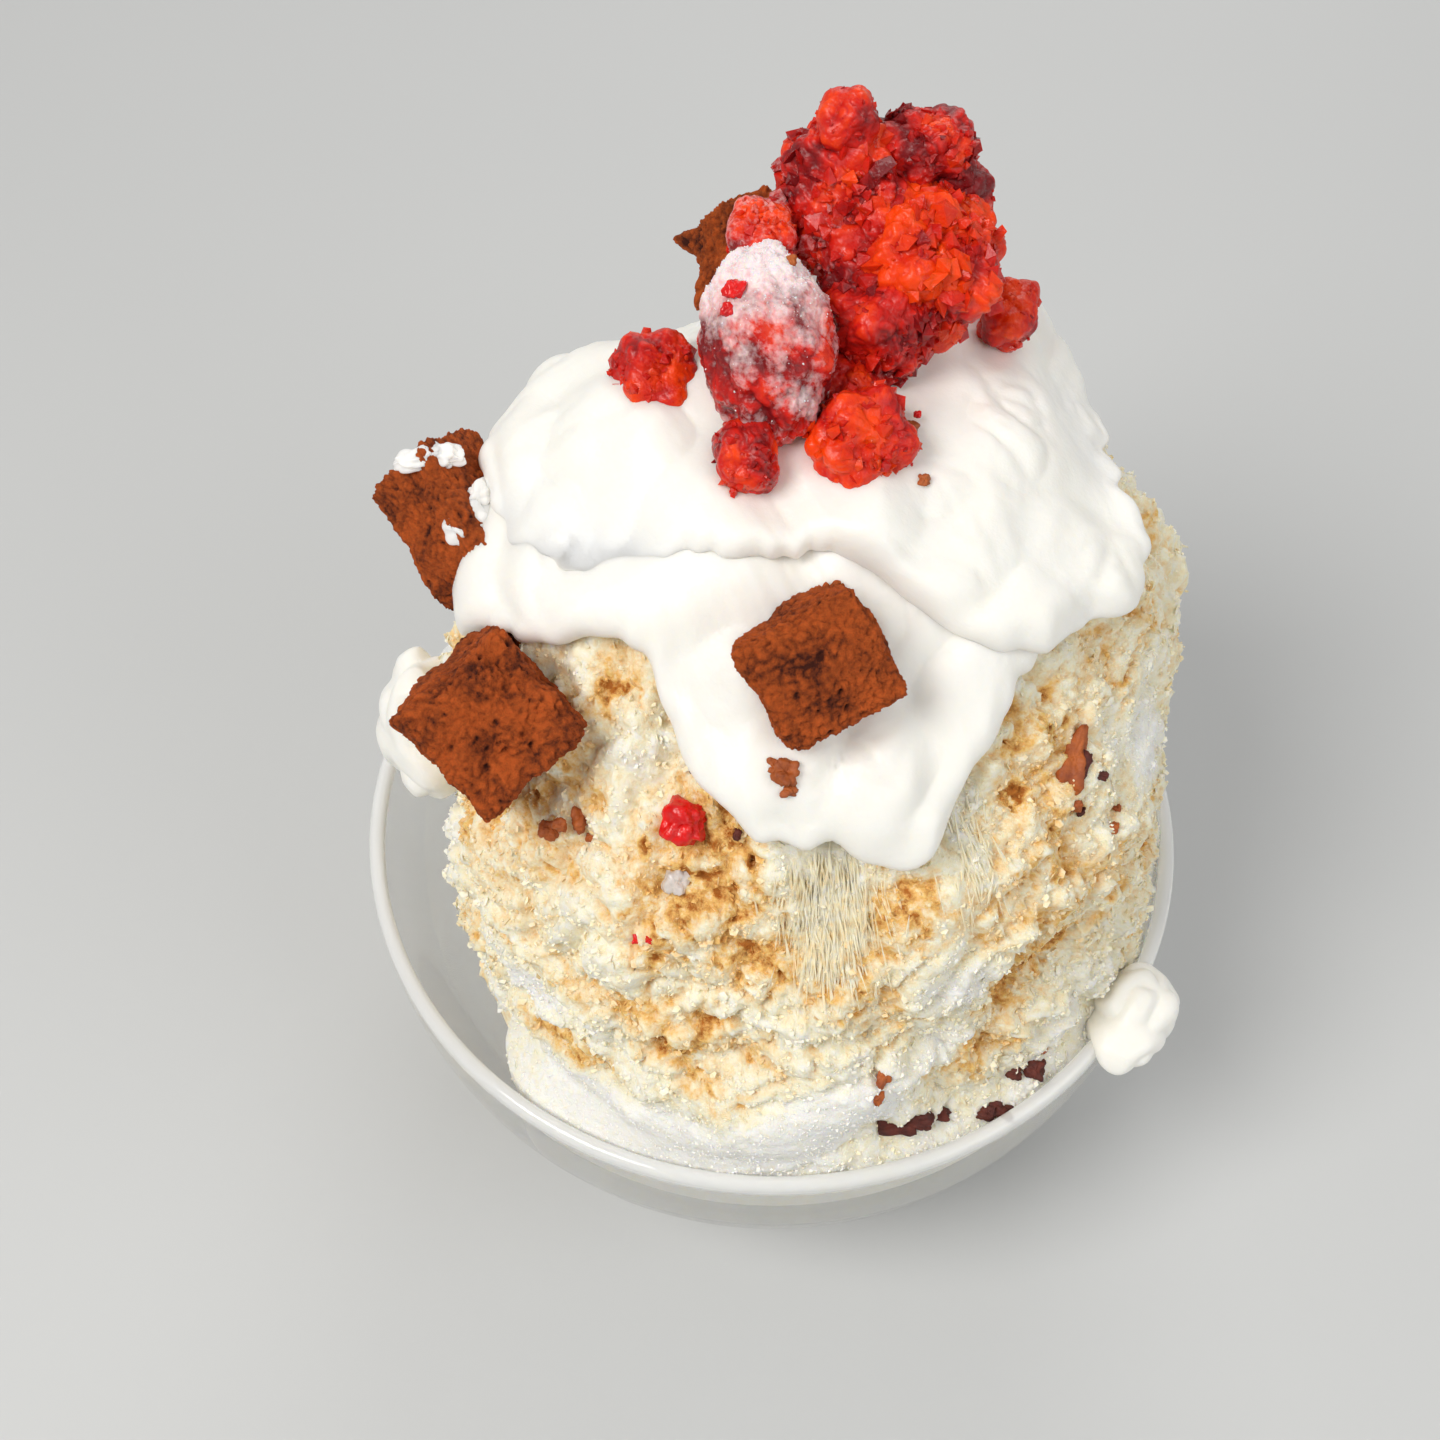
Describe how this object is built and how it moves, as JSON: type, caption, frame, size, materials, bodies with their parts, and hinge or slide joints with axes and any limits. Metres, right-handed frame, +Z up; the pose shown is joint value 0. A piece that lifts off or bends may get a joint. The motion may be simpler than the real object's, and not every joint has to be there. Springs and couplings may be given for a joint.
{
  "type": "shaved ice dessert",
  "caption": "Tall heap of fluffy shaved ice in a round glass bowl, capped with whipped cream, raspberries and torn cubes of chocolate cake.",
  "frame": {"origin": "middle of the bowl's flat foot, where it stands on the table", "axes": "+Z up along the bowl's axis, -Y towards the side with the tongue of cream, +X to the right seen from there"},
  "size_m": [0.14, 0.14, 0.1876],
  "materials": {
    "glass": "clear polished glass",
    "ice": "fluffy shaved ice, white to cream, with amber syrup in its pits",
    "cream": "soft white whipped cream",
    "raspberry": "wet red fruit flesh",
    "frosted_raspberry": "red fruit under white frost",
    "cake": "crumbly rust-brown cake"
  },
  "bodies": {
    "root": {"bowl": "glass", "ice": "ice", "cream": "cream", "cream_left": "cream", "cream_rim": "cream", "cake_front": "cake", "cake_left": "cake", "cake_upper_left": "cake", "cake_crown": "cake", "raspberry_frosted": "frosted_raspberry", "raspberry_chunk_bright": "raspberry", "raspberry_chunk_dark": "raspberry", "raspberry_crown_face": "raspberry", "raspberry_crown_back": "raspberry", "raspberry_crown_nub": "raspberry", "raspberry_crown_right": "raspberry", "raspberry_piece_pink": "raspberry", "raspberry_piece_middle": "raspberry", "raspberry_piece_front": "raspberry", "raspberry_piece_low": "raspberry", "raspberry_piece_left": "raspberry", "raspberry_piece_right": "raspberry"}
  },
  "joints": []
}
